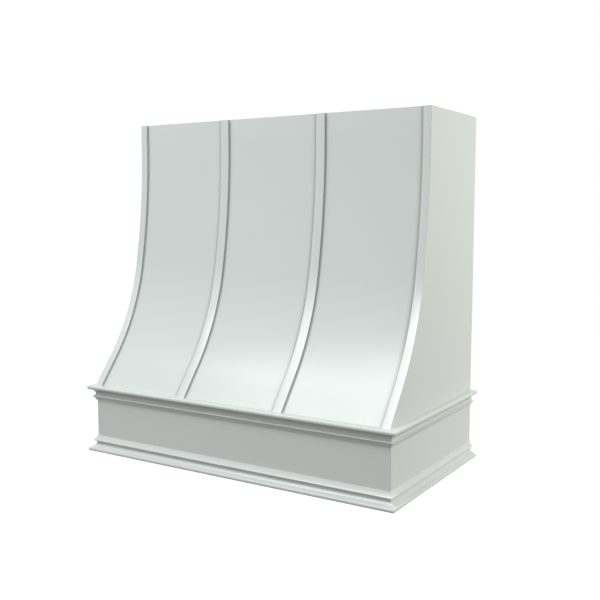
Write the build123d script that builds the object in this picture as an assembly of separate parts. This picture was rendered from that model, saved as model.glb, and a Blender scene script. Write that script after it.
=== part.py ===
from build123d import *
import math
import os

# Wooden range hood cover: a tapered chimney with a flared, strapped front on a moulded apron.
# Millimetres, +Z up, X across the width. The wall is the plane y = 0 and the room is at -Y.
# The origin is on the wall, in the middle of the width, at the hood's bottom edge.

# ---------------------------------------------------------------- driving sizes
# body
body_width = 907.0            # outside of one side panel to the outside of the other
body_height = 914.4           # 36 in, bottom edge to top edge
top_depth = 295.0             # wall to the face of the straps at the top
apron_depth = 494.5           # wall to the face of the apron
apron_height = 186.0          # bottom edge to the top of the apron

# flare of the front, seen from the side and measured on the face of the straps
flare_start_drop = 67.0       # straight part below the top edge
upper_bend = 11.2             # degrees turned by the slow upper bend
foot_slope = 37.85            # degrees from vertical at the foot
foot_straight = 98.0          # straight run at the foot
skin_setback = 3.2            # foot of the front panel behind the apron's face

# boards
panel_thickness = 18.0        # side panels
apron_thickness = 18.0
skin_thickness = 9.0          # bending plywood of the curved front
strap_thickness = 6.35
rib_thickness = 18.0
rib_depth = 60.0
rib_foot_lap = 77.0           # the ribs' feet lap down the back of the apron
rail_thickness = 18.0
rail_height = 70.0            # top rails
lower_rail_height = 102.0

# straps
inner_strap_width = 25.4
edge_strap_width = 21.4
strap_edge_radius = 0.8
apron_corner_radius = 2.0

# moulding section: p is out from the apron's face, h is away from the nose's flat side
moulding_height = 43.2
moulding_projection = 19.2
nose_radius = 5.5
nose_end_angle = 62.0         # degrees past the nose's furthest point
nose_cove_depth = 2.2
neck_projection = 2.3
neck_height = 22.3
neck_cove_depth = 1.6
bead_projection = 9.3
bead_height = 29.8
bead_radius = 1.2
bead_half_angle = 60.0
foot_cove_depth = 0.5
foot_projection = 0.4

# ledge for the ventilator insert
insert_rail_height = 38.1
insert_rail_thickness = 19.0
insert_recess = 25.4          # ledge above the hood's bottom edge
insert_pilot_radius = 1.6
insert_pilot_depth = 25.0
insert_pilot_spacing = 600.0

# hanging cleats
cleat_thickness = 18.0
cleat_height = 75.0
cleat_bevel = 45.0            # degrees from horizontal
wall_cleat_length = 760.0
hood_cleat_length = 780.0
hood_cleat_top_drop = 10.0    # below the hood's top edge
cleat_seat_gap = 0.2          # between the two bevels
cleat_rail_gap = 2.4          # wall cleat's lip below the top back rail
stud_spacing = 406.4          # 16 in
wall_screw_rows = 38.0        # between the two rows of holes in the wall cleat
wall_screw_drop = 42.0        # lip to the middle of the hole pattern
wall_hole_radius = 2.75
wall_sink_radius = 5.5
lower_hole_drop = 19.0        # holes below the lower back rail's top edge

# glue blocks
corner_block_leg = 45.0
corner_block_gap = 3.0        # above the insert rails
corner_block_height = 38.0
rib_block_leg = 25.0
rib_block_height = 65.0
rib_block_drop = 5.0          # below the apron's top edge

# screws and dowels
screw_length = 30.0
screw_radius = 2.0
screw_head_radius = 3.9
screw_head_height = 2.2
screw_tip_length = 3.0
screw_tip_radius = 0.2
screw_end_gap = 0.5           # left in the hole beyond the tip
screw_recess_width = 0.9
screw_recess_span = 4.2
screw_recess_depth = 1.3
hole_clearance = 0.1
former_screw_count = 4
former_screw_margin = 45.0
cleat_screw_count = 5
cleat_screw_margin = 40.0
ledge_screw_count = 3
ledge_screw_margin = 95.0
side_ledge_screw_margin = 60.0
dowel_radius = 4.0
dowel_clearance = 0.05
dowel_end_gap = 0.5
dowel_in_panel = 12.0
dowel_in_rail = 28.0
dowel_in_apron = 11.0
rail_dowel_inset = 17.0       # from a rail's edges
apron_dowel_count = 3
apron_dowel_inset = 32.0

# ---------------------------------------------------------------- sizes that follow
half_width = body_width / 2
inner_half = half_width - panel_thickness
apron_back = apron_depth - apron_thickness
skin_front = strap_thickness
skin_back = strap_thickness + skin_thickness
rib_back = skin_back + rib_depth
rail_bottom = body_height - rail_height
rib_foot = apron_height - rib_foot_lap
strap_pitch = body_width / 3            # the inner straps stand on the thirds of the width
ledge_top = insert_recess + insert_rail_height
top_front_rail_front = top_depth - skin_back
cleat_rise = cleat_thickness * math.tan(math.radians(cleat_bevel))
lip_height = rail_bottom - cleat_rail_gap
wall_screw_height = lip_height - wall_screw_drop
lower_hole_height = lower_rail_height - lower_hole_drop


# ---------------------------------------------------------------- the flare's geometry
def flare_geometry():
    """Start height, two bend centres and two radii of the line on the straps' face."""
    first = math.radians(upper_bend)
    last = math.radians(foot_slope)
    foot_depth = apron_depth - skin_setback + strap_thickness / math.cos(last)
    reach = foot_depth - top_depth - foot_straight * math.sin(last)
    start = body_height - flare_start_drop
    drop = start - apron_height - foot_straight * math.cos(last)
    # reach = r1 * a + r2 * b and drop = r1 * c + r2 * d
    a = 1 - math.cos(first)
    b = math.cos(first) - math.cos(last)
    c = math.sin(first)
    d = math.sin(last) - math.sin(first)
    determinant = a * d - b * c
    upper_radius = (reach * d - drop * b) / determinant
    lower_radius = (drop * a - reach * c) / determinant
    upper_centre = (-top_depth - upper_radius, start)
    shift = upper_radius - lower_radius
    lower_centre = (upper_centre[0] + shift * math.cos(first), start - shift * math.sin(first))
    return start, upper_centre, upper_radius, lower_centre, lower_radius


flare_start, upper_centre, upper_radius, lower_centre, lower_radius = flare_geometry()


def bend_point(centre, radius, degrees):
    """Point (y, z) of a bend, where degrees is the slope from vertical."""
    angle = math.radians(degrees)
    return centre[0] + radius * math.cos(angle), centre[1] - radius * math.sin(angle)


def foot_y(inset):
    """Where the line set inset behind the straps' face meets the apron's top."""
    y, z = bend_point(lower_centre, lower_radius + inset, foot_slope)
    return y - (z - apron_height) * math.tan(math.radians(foot_slope))


def flare_y(inset, z):
    """Depth at height z of the line set inset behind the straps' face."""
    if z >= flare_start:
        return inset - top_depth
    for centre, radius, end in (
        (upper_centre, upper_radius + inset, upper_bend),
        (lower_centre, lower_radius + inset, foot_slope),
    ):
        if z >= bend_point(centre, radius, end)[1]:
            angle = math.asin((centre[1] - z) / radius)
            return centre[0] + radius * math.cos(angle)
    return foot_y(inset) + (z - apron_height) * math.tan(math.radians(foot_slope))


def flare_line(inset):
    """Edges from the top of the hood to the top of the apron, in the plane x = 0."""
    def at(point):
        return Vector(0, point[0], point[1])

    top = at((inset - top_depth, body_height))
    upper = [bend_point(upper_centre, upper_radius + inset, upper_bend * s) for s in (0, 0.5, 1)]
    turn = foot_slope - upper_bend
    lower = [
        bend_point(lower_centre, lower_radius + inset, upper_bend + turn * s)
        for s in (0, 0.5, 1)
    ]
    foot = at((foot_y(inset), apron_height))
    return [
        Edge.make_line(top, at(upper[0])),
        Edge.make_three_point_arc(*[at(p) for p in upper]),
        Edge.make_three_point_arc(*[at(p) for p in lower]),
        Edge.make_line(at(lower[2]), foot),
    ]


def polyline(points):
    """Edges through points (y, z), in the plane x = 0."""
    corners = [Vector(0, y, z) for y, z in points]
    return [Edge.make_line(p, q) for p, q in zip(corners, corners[1:])]


def slab(edges, x_low, x_high):
    """The closed outline of edges as a board from x_low to x_high."""
    face = Face(Wire(edges)).moved(Location((x_low, 0, 0)))
    return Solid.extrude(face, Vector(x_high - x_low, 0, 0))


def curved_board(front, back, x_low, x_high):
    """A bent board between two lines set behind the straps' face, standing on the apron."""
    top = polyline([(front - top_depth, body_height), (back - top_depth, body_height)])
    foot = polyline([(foot_y(front), apron_height), (foot_y(back), apron_height)])
    return slab(flare_line(front) + flare_line(back) + top + foot, x_low, x_high)


def block(x_low, x_high, y_low, y_high, z_low, z_high):
    """A box from its lowest to its highest corner."""
    size = (x_high - x_low, y_high - y_low, z_high - z_low)
    return Pos(x_low, y_low, z_low) * Box(*size, align=(Align.MIN, Align.MIN, Align.MIN))


def mirrored(shape):
    """The same piece on the other side of the hood."""
    return shape.mirror(Plane.YZ)


# ---------------------------------------------------------------- screws and dowels
def drilled(place, radius, low, high):
    """Cylinder along a plane's normal, from low to high on it."""
    axis = Cylinder(radius, high - low, align=(Align.CENTER, Align.CENTER, Align.MIN))
    return place.location * Pos(0, 0, low) * axis


def countersink(place, small, large, depth):
    """Cone that is large at the plane and narrows behind it."""
    cone = Cone(small, large, depth, align=(Align.CENTER, Align.CENTER, Align.MAX))
    return place.location * cone


def screw(place):
    """Countersunk wood screw with its head flush with the plane and its tip behind it."""
    shank_end = screw_tip_length - screw_length
    body = countersink(place, screw_radius, screw_head_radius, screw_head_height)
    body += drilled(place, screw_radius, shank_end, -screw_head_height)
    low = (Align.CENTER, Align.CENTER, Align.MIN)
    tip = Cone(screw_tip_radius, screw_radius, screw_tip_length, align=low)
    body += place.location * Pos(0, 0, -screw_length) * tip
    sunk = (Align.CENTER, Align.CENTER, Align.MAX)
    body -= place.location * Box(screw_recess_span, screw_recess_width, screw_recess_depth, align=sunk)
    body -= place.location * Box(screw_recess_width, screw_recess_span, screw_recess_depth, align=sunk)
    return body


def screw_hole(place):
    """The hole that a screw sits in."""
    head = screw_head_radius + hole_clearance
    neck = screw_radius + hole_clearance
    hole = countersink(place, neck, head, screw_head_height)
    return hole + drilled(place, neck, -screw_length - screw_end_gap, -screw_head_height / 2)


def dowel(place, in_panel):
    """Wooden dowel across a butt joint in the plane; the panel is ahead of the plane."""
    return drilled(place, dowel_radius, dowel_end_gap - dowel_in_rail, in_panel - dowel_end_gap)


def dowel_hole(place, in_panel):
    """The two blind holes of a dowel as one cutter."""
    return drilled(place, dowel_radius + dowel_clearance, -dowel_in_rail, in_panel)


def facing(x, y, z, direction):
    """Plane at a point, facing a direction."""
    return Plane(origin=(x, y, z), z_dir=direction)


def spread(low, high, count):
    """Evenly spaced values from low to high."""
    return [low + (high - low) * i / (count - 1) for i in range(count)]


def both_sides(places_of_side):
    """Planes for the right side and the left side, from a function of the side's sign."""
    return [place for side in (1, -1) for place in places_of_side(side)]


def rail_dowel_places(y, z_low, z_high):
    """Planes on the ends of a rail whose middle is at y."""
    heights = (z_low + rail_dowel_inset, z_high - rail_dowel_inset)
    return both_sides(lambda side: [
        facing(side * inner_half, y, z, (side, 0, 0)) for z in heights
    ])


def apron_dowel_places():
    """Planes where the apron's back meets the front edges of the side panels."""
    middle = half_width - panel_thickness / 2
    heights = spread(apron_dowel_inset, apron_height - apron_dowel_inset, apron_dowel_count)
    return both_sides(lambda side: [
        facing(side * middle, -apron_back, z, (0, -1, 0)) for z in heights
    ])


def former_screw_places():
    """Planes on the inner faces of the edge formers, along the middle of each."""
    low = apron_height + former_screw_margin
    high = rail_bottom - former_screw_margin
    middle = (skin_back + rib_back) / 2
    face = inner_half - rib_thickness
    return both_sides(lambda side: [
        facing(side * face, flare_y(middle, z), z, (-side, 0, 0))
        for z in spread(low, high, former_screw_count)
    ])


def ledge_height():
    """Middle of the insert rails, where their screws are."""
    return insert_recess + insert_rail_height / 2


def front_ledge_places():
    """Planes on the inner face of the front insert rail."""
    face = -apron_back + insert_rail_thickness
    reach = inner_half - ledge_screw_margin
    return [facing(x, face, ledge_height(), (0, 1, 0)) for x in spread(-reach, reach, ledge_screw_count)]


def back_ledge_places():
    """Planes on the inner face of the back insert rail."""
    face = -rail_thickness - insert_rail_thickness
    reach = inner_half - ledge_screw_margin
    return [facing(x, face, ledge_height(), (0, -1, 0)) for x in spread(-reach, reach, ledge_screw_count)]


def side_ledge_places():
    """Planes on the inner faces of the two side insert rails."""
    face = inner_half - insert_rail_thickness
    front = insert_rail_thickness - apron_back + side_ledge_screw_margin
    back = -rail_thickness - insert_rail_thickness - side_ledge_screw_margin
    return both_sides(lambda side: [
        facing(side * face, y, ledge_height(), (-side, 0, 0)) for y in (front, back)
    ])


def cleat_screw_places():
    """Planes on the back of the hood cleat, where it covers the top back rail."""
    reach = hood_cleat_length / 2 - cleat_screw_margin
    height = (rail_bottom + body_height - hood_cleat_top_drop) / 2
    return [facing(x, 0, height, (0, 1, 0)) for x in spread(-reach, reach, cleat_screw_count)]


def top_front_dowels():
    middle = -top_front_rail_front + rail_thickness / 2
    return rail_dowel_places(middle, rail_bottom, body_height)


def top_back_dowels():
    return rail_dowel_places(-cleat_thickness - rail_thickness / 2, rail_bottom, body_height)


def lower_back_dowels():
    return rail_dowel_places(-rail_thickness / 2, 0, lower_rail_height)


def without(shape, cutters):
    """The shape with every cutter taken away."""
    for cutter in cutters:
        shape -= cutter
    return shape


# ---------------------------------------------------------------- painted outside
def side_panel():
    """Right side panel; its front edge follows the back of the straps."""
    outline = polyline([
        (foot_y(skin_front), apron_height),
        (-apron_back, apron_height),
        (-apron_back, 0),
        (0, 0),
        (0, body_height),
        (skin_front - top_depth, body_height),
    ])
    panel = slab(flare_line(skin_front) + outline, inner_half, half_width)
    rails = top_front_dowels() + top_back_dowels() + lower_back_dowels()
    panel = without(panel, [dowel_hole(p, dowel_in_panel) for p in rails])
    panel = without(panel, [dowel_hole(p, dowel_in_apron) for p in apron_dowel_places()])
    return without(panel, [screw_hole(p) for p in former_screw_places() + side_ledge_places()])


def curved_front_panel():
    return curved_board(skin_front, skin_back, -inner_half, inner_half)


def strap(x_low, x_high):
    """A strip bent over the front, with its long outer edges eased."""
    strip = curved_board(0, skin_front, x_low, x_high)
    faces = [f for f in strip.faces() if f.normal_at().Y < -0.5]
    long_edges = [e for f in faces for e in f.edges() if abs((e @ 1 - e @ 0).X) < 0.01]
    ends = ShapeList(e for e in long_edges if abs((e @ 0.5).X - x_low) < 0.01)
    ends += ShapeList(e for e in long_edges if abs((e @ 0.5).X - x_high) < 0.01)
    return strip.fillet(strap_edge_radius, ends)


def inner_strap(side):
    middle = side * strap_pitch / 2
    return strap(middle - inner_strap_width / 2, middle + inner_strap_width / 2)


def apron_front_board():
    """Board across the front of the base, its two front corners eased."""
    board = block(-half_width, half_width, -apron_depth, -apron_back, 0, apron_height)
    corners = board.edges().filter_by(Axis.Z).group_by(Axis.Y)[0]
    board = fillet(corners, apron_corner_radius)
    board = without(board, [dowel_hole(p, dowel_in_apron) for p in apron_dowel_places()])
    return without(board, [screw_hole(p) for p in front_ledge_places()])


def bowed(start, end, depth):
    """Middle point of a hollow that is depth deep between two points of the section."""
    chord = (end[0] - start[0], end[1] - start[1])
    length = math.hypot(*chord)
    middle = ((start[0] + end[0]) / 2, (start[1] + end[1]) / 2)
    return middle[0] - depth * chord[1] / length, middle[1] + depth * chord[0] / length


def round_points(centre, radius, first, last):
    """Start, middle and end of a round part of the section, at angles in degrees."""
    angles = [math.radians(a) for a in (first, (first + last) / 2, last)]
    return [(centre[0] + radius * math.cos(a), centre[1] + radius * math.sin(a)) for a in angles]


def moulding_section(place):
    """Face of the moulding; place puts a point (p, h) of the section in space."""
    nose_centre = (moulding_projection - nose_radius, nose_radius)
    nose = round_points(nose_centre, nose_radius, -90, nose_end_angle)
    bead_centre = (bead_projection - bead_radius, bead_height)
    bead = round_points(bead_centre, bead_radius, -bead_half_angle, bead_half_angle)
    neck = (neck_projection, neck_height)
    foot = (foot_projection, moulding_height)
    hollows = [
        (nose[2], bowed(nose[2], neck, nose_cove_depth), neck),
        (neck, bowed(neck, bead[0], neck_cove_depth), bead[0]),
        (bead[2], bowed(bead[2], foot, foot_cove_depth), foot),
    ]
    lines = [((0, 0), nose[0]), (foot, (0, moulding_height)), ((0, moulding_height), (0, 0))]
    edges = [Edge.make_line(place(*a), place(*b)) for a, b in lines]
    for arc in [nose, bead] + hollows:
        edges.append(Edge.make_three_point_arc(*[place(*point) for point in arc]))
    return Face(Wire(edges))


def mitred(length, corners, z_low):
    """The part of a moulding over a plan with four corners."""
    plan = Face(Wire.make_polygon([Vector(x, y, z_low) for x, y in corners]))
    return length & Solid.extrude(plan, Vector(0, 0, moulding_height))


def upper_height(h):
    return apron_height - h


def lower_height(h):
    return h


def front_moulding(height_of):
    """Length across the front, mitred at both ends."""
    run = half_width + moulding_projection
    section = moulding_section(lambda p, h: Vector(-run, -apron_depth - p, height_of(h)))
    length = Solid.extrude(section, Vector(2 * run, 0, 0))
    outer = apron_depth + moulding_projection
    plan = [(-half_width, -apron_depth), (half_width, -apron_depth), (run, -outer), (-run, -outer)]
    return mitred(length, plan, min(height_of(0), height_of(moulding_height)))


def side_moulding(height_of):
    """Return along the right side, mitred at the front and square at the wall."""
    outer = apron_depth + moulding_projection
    section = moulding_section(lambda p, h: Vector(half_width + p, 0, height_of(h)))
    length = Solid.extrude(section, Vector(0, -outer, 0))
    run = half_width + moulding_projection
    plan = [(half_width, 0), (run, 0), (run, -outer), (half_width, -apron_depth)]
    return mitred(length, plan, min(height_of(0), height_of(moulding_height)))


# ---------------------------------------------------------------- frame inside
def rib(x_low, x_high):
    """Former with its front on the back of the skin and its foot behind the apron."""
    back = foot_y(rib_back)
    foot = polyline([
        (foot_y(skin_back), apron_height),
        (-apron_back, apron_height),
        (-apron_back, rib_foot),
        (back, rib_foot),
        (back, apron_height),
    ])
    top = polyline([(skin_back - top_depth, body_height), (rib_back - top_depth, body_height)])
    board = slab(flare_line(skin_back) + flare_line(rib_back) + foot + top, x_low, x_high)
    above = block(x_low, x_high, -apron_depth, 0, rail_bottom, body_height)
    return board - above


def inner_rib():
    """Right inner rib, behind the middle of the right inner strap."""
    middle = strap_pitch / 2
    return rib(middle - rib_thickness / 2, middle + rib_thickness / 2)


def edge_former():
    """Right edge former, against the inside of the side panel."""
    former = rib(inner_half - rib_thickness, inner_half)
    return without(former, [screw_hole(p) for p in former_screw_places()])


def top_front_rail():
    front = -top_front_rail_front
    rail = block(-inner_half, inner_half, front, front + rail_thickness, rail_bottom, body_height)
    return without(rail, [dowel_hole(p, dowel_in_panel) for p in top_front_dowels()])


def top_back_rail():
    """Rail one cleat's thickness off the wall."""
    front = -cleat_thickness - rail_thickness
    rail = block(-inner_half, inner_half, front, -cleat_thickness, rail_bottom, body_height)
    rail = without(rail, [dowel_hole(p, dowel_in_panel) for p in top_back_dowels()])
    return without(rail, [screw_hole(p) for p in cleat_screw_places()])


def wall_hole(x, z, front):
    """Countersunk hole for a wall screw, from a piece's room side to the wall."""
    place = facing(x, front, z, (0, -1, 0))
    depth = wall_sink_radius - wall_hole_radius
    sink = countersink(place, wall_hole_radius, wall_sink_radius, depth)
    return sink + drilled(place, wall_hole_radius, front, -depth / 2)


def lower_back_rail():
    """Rail flush with the wall, with two holes at the studs."""
    rail = block(-inner_half, inner_half, -rail_thickness, 0, 0, lower_rail_height)
    rail = without(rail, [dowel_hole(p, dowel_in_panel) for p in lower_back_dowels()])
    rail = without(rail, [screw_hole(p) for p in back_ledge_places()])
    studs = (-stud_spacing / 2, stud_spacing / 2)
    return without(rail, [wall_hole(x, lower_hole_height, -rail_thickness) for x in studs])


def insert_pilots(y):
    """Pilot holes in the underside of a ledge, for the ventilator insert."""
    places = [
        facing(side * insert_pilot_spacing / 2, y, insert_recess, (0, 0, 1)) for side in (-1, 1)
    ]
    return [drilled(p, insert_pilot_radius, 0, insert_pilot_depth) for p in places]


def insert_rail_front():
    back = -apron_back + insert_rail_thickness
    rail = block(-inner_half, inner_half, -apron_back, back, insert_recess, ledge_top)
    rail = without(rail, [screw_hole(p) for p in front_ledge_places()])
    return without(rail, insert_pilots(-apron_back + insert_rail_thickness / 2))


def insert_rail_back():
    front = -rail_thickness - insert_rail_thickness
    rail = block(-inner_half, inner_half, front, -rail_thickness, insert_recess, ledge_top)
    rail = without(rail, [screw_hole(p) for p in back_ledge_places()])
    return without(rail, insert_pilots(-rail_thickness - insert_rail_thickness / 2))


def insert_rail_side():
    """Right insert rail, between the front one and the back one."""
    face = inner_half - insert_rail_thickness
    front = insert_rail_thickness - apron_back
    back = -rail_thickness - insert_rail_thickness
    rail = block(face, inner_half, front, back, insert_recess, ledge_top)
    return without(rail, [screw_hole(p) for p in side_ledge_places()])


def corner_wedge(x, y, x_leg, y_leg, z_low, height):
    """Glue block with a triangular plan in the corner at (x, y)."""
    corners = [Vector(x, y, z_low), Vector(x + x_leg, y, z_low), Vector(x, y + y_leg, z_low)]
    plan = Face(Wire.make_polygon(corners))
    return Solid.extrude(plan, Vector(0, 0, height))


def corner_blocks():
    """Four blocks in the base's corners, just above the insert rails."""
    low = ledge_top + corner_block_gap
    high = min(corner_block_height, rib_foot - low, lower_rail_height - low)
    leg = corner_block_leg
    front = corner_wedge(inner_half, -apron_back, -leg, leg, low, high)
    back = corner_wedge(inner_half, -rail_thickness, -leg, -leg, low, high)
    return Compound([front, back, mirrored(front), mirrored(back)])


def rib_glue_blocks():
    """Blocks in the corners between the inner ribs' feet and the apron."""
    low = apron_height - rib_block_drop - rib_block_height
    right = strap_pitch / 2 + rib_thickness / 2
    left = strap_pitch / 2 - rib_thickness / 2
    leg = rib_block_leg
    pair = [
        corner_wedge(right, -apron_back, leg, leg, low, rib_block_height),
        corner_wedge(left, -apron_back, -leg, leg, low, rib_block_height),
    ]
    return Compound(pair + [mirrored(b) for b in pair])


# ---------------------------------------------------------------- hanging cleats
def cleat(length, corners):
    """Bevelled strip with corners (y, z), along the middle of the width."""
    outline = polyline(corners + corners[:1])
    return slab(outline, -length / 2, length / 2)


def hood_cleat():
    """Strip on the back of the top back rail, with its lowest edge against the wall."""
    tip = lip_height - cleat_rise + cleat_seat_gap
    top = body_height - hood_cleat_top_drop
    corners = [(0, tip), (0, top), (-cleat_thickness, top), (-cleat_thickness, tip + cleat_rise)]
    return without(cleat(hood_cleat_length, corners), [screw_hole(p) for p in cleat_screw_places()])


def wall_cleat():
    """Strip on the wall, with its highest edge towards the room."""
    low = lip_height - cleat_height
    corners = [
        (0, low),
        (0, lip_height - cleat_rise),
        (-cleat_thickness, lip_height),
        (-cleat_thickness, low),
    ]
    holes = [
        wall_hole(x, z, -cleat_thickness)
        for x in (-stud_spacing / 2, stud_spacing / 2)
        for z in (wall_screw_height - wall_screw_rows / 2, wall_screw_height + wall_screw_rows / 2)
    ]
    return without(cleat(wall_cleat_length, corners), holes)


# ---------------------------------------------------------------- fasteners, in groups
def screws(places):
    return Compound([solid for p in places for solid in screw(p).solids()])


def frame_dowels():
    rails = top_front_dowels() + top_back_dowels() + lower_back_dowels()
    pieces = [dowel(p, dowel_in_panel) for p in rails]
    pieces += [dowel(p, dowel_in_apron) for p in apron_dowel_places()]
    return Compound([solid for piece in pieces for solid in piece.solids()])


def pieces():
    """Every piece of the hood by its name."""
    right = {
        "side_panel": side_panel(),
        "inner_rib": inner_rib(),
        "edge_former": edge_former(),
        "insert_rail": insert_rail_side(),
        "inner_strap": inner_strap(1),
        "edge_strap": strap(half_width - edge_strap_width, half_width),
        "upper_moulding": side_moulding(upper_height),
        "lower_moulding": side_moulding(lower_height),
    }
    made = {f"{name}_right": shape for name, shape in right.items()}
    made.update({f"{name}_left": mirrored(shape) for name, shape in right.items()})
    made.update({
        "curved_front_panel": curved_front_panel(),
        "apron_front_board": apron_front_board(),
        "upper_moulding_front": front_moulding(upper_height),
        "lower_moulding_front": front_moulding(lower_height),
        "top_front_rail": top_front_rail(),
        "top_back_rail": top_back_rail(),
        "lower_back_rail": lower_back_rail(),
        "insert_rail_front": insert_rail_front(),
        "insert_rail_back": insert_rail_back(),
        "corner_blocks": corner_blocks(),
        "rib_glue_blocks": rib_glue_blocks(),
        "hood_cleat": hood_cleat(),
        "wall_cleat": wall_cleat(),
        "hood_cleat_screws": screws(cleat_screw_places()),
        "insert_rail_screws": screws(front_ledge_places() + back_ledge_places() + side_ledge_places()),
        "edge_former_screws": screws(former_screw_places()),
        "frame_dowels": frame_dowels(),
    })
    return made


os.makedirs("parts", exist_ok=True)
for node, shape in pieces().items():
    export_step(shape, f"parts/{node}.step")
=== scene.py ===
import math

import bmesh
import bpy
from bpy.props import FloatProperty, FloatVectorProperty, IntProperty, PointerProperty
from mathutils import Matrix, Vector


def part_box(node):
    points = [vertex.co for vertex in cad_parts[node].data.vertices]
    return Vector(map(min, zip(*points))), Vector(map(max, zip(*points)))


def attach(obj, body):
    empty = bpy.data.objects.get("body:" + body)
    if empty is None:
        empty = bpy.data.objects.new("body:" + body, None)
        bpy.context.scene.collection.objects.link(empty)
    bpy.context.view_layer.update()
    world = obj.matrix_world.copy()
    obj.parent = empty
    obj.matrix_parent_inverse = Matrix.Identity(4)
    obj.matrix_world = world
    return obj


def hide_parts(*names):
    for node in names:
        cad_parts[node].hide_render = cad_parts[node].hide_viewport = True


bl_info = {
    "name": "Wooden Range Hood Cover",
    "version": (1, 0, 0),
    "blender": (4, 5, 0),
    "location": "View3D > Sidebar > Range Hood",
    "description": "Painted and raw pieces of a flared, strapped range hood cover",
    "category": "Object",
}

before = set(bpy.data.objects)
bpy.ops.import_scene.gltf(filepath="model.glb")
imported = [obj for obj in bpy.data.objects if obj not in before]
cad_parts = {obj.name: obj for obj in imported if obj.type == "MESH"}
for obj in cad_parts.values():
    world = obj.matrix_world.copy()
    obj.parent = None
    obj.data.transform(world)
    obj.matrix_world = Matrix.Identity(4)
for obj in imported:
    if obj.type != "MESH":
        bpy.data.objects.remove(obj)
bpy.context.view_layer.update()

HOOD = "hood"                 # the body that lifts off the wall cleat
MM = 0.001


def extent(node, axis):
    """Length of a CAD node along X (0), Y (1) or Z (2)."""
    low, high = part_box(node)
    return high[axis] - low[axis]


def length(name, default, description):
    """A length property in metres."""
    return FloatProperty(
        name=name, default=default, description=description, unit="LENGTH", precision=5, min=0.0
    )


def angle(name, degrees, description):
    """An angle property, given in degrees."""
    return FloatProperty(
        name=name, default=math.radians(degrees), description=description, unit="ROTATION"
    )


def share(name, default, description):
    """A property from 0 to 1."""
    return FloatProperty(
        name=name, default=default, description=description, min=0.0, max=1.0, subtype="FACTOR"
    )


def colour(name, default, description):
    """A colour property."""
    return FloatVectorProperty(
        name=name, default=default, description=description, size=3, min=0.0, max=1.0,
        subtype="COLOR",
    )


# ------------------------------------------------------------------ what a user would change
class HoodBody(bpy.types.PropertyGroup):
    """Sizes of the tapered body and its flare"""

    width: length("Width", extent("apron_front_board", 0), "Side panel to side panel, outside")
    height: length("Height", extent("side_panel_right", 2), "Bottom edge to top edge")
    top_depth: length("Top depth", 0.295, "Wall to the straps' face at the top")
    apron_depth: length("Apron depth", -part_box("apron_front_board")[0].y, "Wall to apron face")
    apron_height: length("Apron height", extent("apron_front_board", 2), "Height of the base")
    board: length("Board", extent("side_panel_right", 0), "Thickness of side and apron boards")
    skin: length("Front panel", 0.009, "Thickness of the curved front panel")
    strap: length("Strap thickness", 0.00635, "Thickness of the straps")
    straight_top: length("Straight top", 0.067, "Upright part of the front at the top")
    upper_bend: angle("Upper bend", 11.2, "Turn of the slow upper bend")
    foot_slope: angle("Foot slope", 37.85, "Slope of the front at its foot, from upright")
    foot_straight: length("Foot run", 0.098, "Straight run of the front at its foot")
    setback: length("Setback", 0.0032, "Foot of the front panel behind the apron's face")
    corner: length("Apron corner", 0.002, "Radius of the apron's upright corners")
    eased: length("Eased edge", 0.0007, "Radius of sanded edges under the paint")
    bend_steps: IntProperty(
        name="Bend steps", default=26, min=4, description="Facets along each bend of the front"
    )


class HoodStraps(bpy.types.PropertyGroup):
    """Sizes of the straps on the front"""

    inner_width: length("Inner width", extent("inner_strap_right", 0), "The two inner straps")
    edge_width: length("Edge width", extent("edge_strap_right", 0), "The two straps at the sides")
    eased: length("Eased edge", 0.0008, "Radius of a strap's long front edges")
    caulk: length("Caulk", 0.0009, "Fillet of caulk along a strap's foot")
    round_steps: IntProperty(
        name="Round steps", default=5, min=2, description="Facets on eased edges and caulk"
    )
    lead: length("Lead", 0.085, "How far above the front's bend the straps catch its light")
    lead_from: length("Lead from", 0.55, "Height where the lead begins")


class HoodMoulding(bpy.types.PropertyGroup):
    """Section of the mouldings: out from the apron, and away from the nose's flat side"""

    height: length("Height", extent("upper_moulding_front", 2), "Height of the moulding")
    projection: length("Projection", extent("upper_moulding_front", 1), "Nose, out from apron")
    nose_radius: length("Nose radius", 0.0055, "Radius of the nose")
    nose_end: angle("Nose end", 62.0, "Turn of the nose past its furthest point")
    nose_cove: length("Nose cove", 0.0022, "Depth of the hollow below the nose")
    neck_out: length("Neck out", 0.0023, "Neck, out from the apron")
    neck_at: length("Neck at", 0.0223, "Neck, from the flat side")
    neck_cove: length("Neck cove", 0.0016, "Depth of the hollow between neck and bead")
    bead_out: length("Bead out", 0.0093, "Bead, out from the apron")
    bead_at: length("Bead at", 0.0298, "Bead, from the flat side")
    bead_radius: length("Bead radius", 0.0012, "Radius of the bead")
    foot_cove: length("Foot cove", 0.0005, "Depth of the hollow below the bead")
    foot_out: length("Foot out", 0.0004, "Thin edge of the moulding, out from the apron")
    neck_fillet: length("Neck fillet", 0.0006, "Paint that rounds the inside of the neck")
    curve_steps: IntProperty(
        name="Curve steps", default=10, min=3, description="Facets on each curve of the section"
    )


class HoodScrew(bpy.types.PropertyGroup):
    """Sizes of a countersunk wood screw"""

    head_radius: length("Head radius", 0.0039, "Radius of the head")
    head_height: length("Head height", 0.0022, "Height of the countersunk cone")
    rim: length("Rim", 0.00025, "Upright edge of the head")
    core_radius: length("Core radius", 0.0014, "Radius at the bottom of the thread")
    thread_radius: length("Thread radius", 0.002, "Radius at the crest of the thread")
    pitch: length("Pitch", 0.0018, "Rise of the thread in one turn")
    smooth_shank: length("Smooth shank", 0.007, "Plain shank below the head")
    tip: length("Tip", 0.004, "Length of the point")
    recess_span: length("Recess span", 0.0042, "Width of the cross recess")
    recess_width: length("Recess width", 0.0009, "Width of one slot of the cross")
    recess_depth: length("Recess depth", 0.0013, "Depth of the cross recess")


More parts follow.
